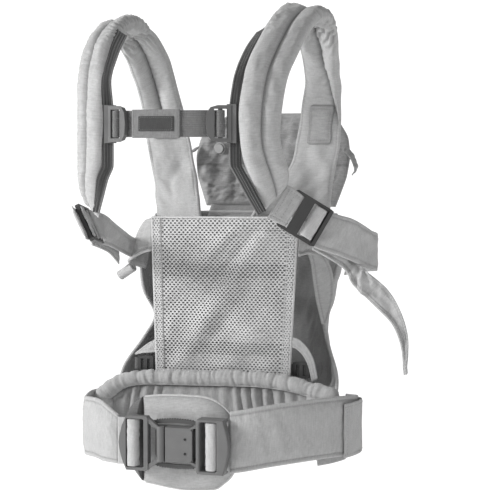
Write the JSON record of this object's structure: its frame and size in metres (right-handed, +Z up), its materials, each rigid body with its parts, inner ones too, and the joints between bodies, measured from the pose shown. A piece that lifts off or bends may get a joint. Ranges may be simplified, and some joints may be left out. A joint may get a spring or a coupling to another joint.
{
  "type": "soft baby carrier",
  "caption": "Structured soft baby carrier with mesh chest panel, padded shoulder straps, sliding chest strap, waist belt with large buckle and folding head support.",
  "frame": {"origin": "centre of the waist belt's loop, half way up the waist strap", "axes": "+Z up, +Y the way the wearer faces, +X the wearer's right"},
  "size_m": [0.3449, 0.3814, 0.4735],
  "materials": {
    "heather_fabric": "woven heather",
    "mesh_fabric": "open 3D mesh",
    "lining_fabric": "woven",
    "dark_webbing": "webbing",
    "buckle_plastic": "satin",
    "dark_plastic": "satin",
    "snap_plastic": "satin",
    "label_fabric": "woven label"
  },
  "bodies": {
    "carrier": {"adjuster_tab_left": "heather_fabric", "adjuster_tab_right": "heather_fabric", "anchor_strap_left": "heather_fabric", "anchor_strap_right": "heather_fabric", "belt_panel": "heather_fabric", "bolster_roll": "heather_fabric", "buckle_rivets": "dark_plastic", "buckle_socket": "buckle_plastic", "hip_flap_right": "heather_fabric", "hip_keeper_right": "heather_fabric", "inner_label": "label_fabric", "lower_gusset_left": "heather_fabric", "lower_gusset_right": "heather_fabric", "lumbar_pad": "heather_fabric", "lumbar_side_panel": "lining_fabric", "mesh_panel": "mesh_fabric", "mesh_side_band_left": "mesh_fabric", "mesh_side_band_right": "mesh_fabric", "outer_panel": "heather_fabric", "pad_rail_left": "dark_webbing", "pad_rail_right": "dark_webbing", "seat_strap_left": "dark_webbing", "seat_strap_right": "dark_webbing", "shoulder_pad_left": "heather_fabric", "shoulder_pad_right": "heather_fabric", "side_webbing_left": "heather_fabric", "side_webbing_right": "heather_fabric", "socket_loop": "heather_fabric", "strap_patch_left": "heather_fabric", "strap_patch_right": "heather_fabric", "tail_left": "heather_fabric", "tail_right": "heather_fabric", "tail_roll_left": "heather_fabric", "waist_strap_left": "heather_fabric", "waist_strap_right": "heather_fabric", "wing_left": "heather_fabric", "wing_right": "heather_fabric"},
    "buckle_tongue": {"buckle_tongue": "buckle_plastic", "tongue_loop": "heather_fabric"},
    "grip_upper": {"release_arm_upper": "buckle_plastic"},
    "grip_lower": {"release_arm_lower": "buckle_plastic"},
    "chest_strap": {"chest_slider_left": "buckle_plastic", "chest_slider_right": "buckle_plastic", "chest_webbing": "dark_webbing", "chest_sleeve": "dark_webbing", "chest_label": "label_fabric"},
    "adjuster_right": {"shoulder_adjuster_right": "dark_plastic", "webbing_fold_right": "heather_fabric"},
    "adjuster_left": {"shoulder_adjuster_left": "dark_plastic", "webbing_fold_left": "heather_fabric"},
    "head_support": {"head_support": "heather_fabric", "snap_caps": "snap_plastic", "head_strap_left": "heather_fabric", "head_strap_right": "heather_fabric"},
    "seat_adjuster_left": {"seat_adjuster_left": "dark_plastic"},
    "seat_adjuster_right": {"seat_adjuster_right": "dark_plastic"}
  },
  "joints": [
    {"name": "buckle_release", "type": "slide", "parent": "carrier", "child": "buckle_tongue", "axis": [-1, 0, 0], "range_m": [0, 0.032], "deforming": ["waist_strap_left"]},
    {"name": "grip_upper_squeeze", "type": "hinge", "parent": "carrier", "child": "grip_upper", "pos_m": [0.0196, -0.0891, 0.0178], "axis": [0, -1, 0], "range_deg": [0, 3.5], "stiffness_Nm_per_rad": 0.02},
    {"name": "grip_lower_squeeze", "type": "hinge", "parent": "carrier", "child": "grip_lower", "pos_m": [0.0196, -0.0891, -0.0238], "axis": [0, -1, 0], "range_deg": [-3.5, 0], "stiffness_Nm_per_rad": 0.02},
    {"name": "chest_strap_slide", "type": "slide", "parent": "carrier", "child": "chest_strap", "axis": [0, 0, 1], "range_m": [-0.014, 0.018]},
    {"name": "adjuster_right_tilt", "type": "hinge", "parent": "carrier", "child": "adjuster_right", "pos_m": [0.10307, -0.0651, 0.22418], "axis": [-0.4453, -0.2589, -0.8572], "range_deg": [0, 20], "deforming": ["adjuster_tab_right", "side_webbing_right", "tail_right"]},
    {"name": "adjuster_left_tilt", "type": "hinge", "parent": "carrier", "child": "adjuster_left", "pos_m": [-0.10586, -0.06741, 0.20754], "axis": [-0.4642, 0.097, 0.8804], "range_deg": [0, 20], "deforming": ["adjuster_tab_left", "side_webbing_left", "tail_left"]},
    {"name": "head_support_fold", "type": "hinge", "parent": "carrier", "child": "head_support", "pos_m": [0, 0.222, 0.2125], "axis": [-1, 0, 0], "range_deg": [0, 130]},
    {"name": "seat_adjuster_left_slide", "type": "slide", "parent": "carrier", "child": "seat_adjuster_left", "axis": [-1, 0, 0], "range_m": [-0.003, 0.004]},
    {"name": "seat_adjuster_right_slide", "type": "slide", "parent": "carrier", "child": "seat_adjuster_right", "axis": [1, 0, 0], "range_m": [-0.003, 0.004]}
  ],
  "couplings": [
    {"joint": "grip_lower_squeeze", "follows": "grip_upper_squeeze", "ratio": -1}
  ]
}
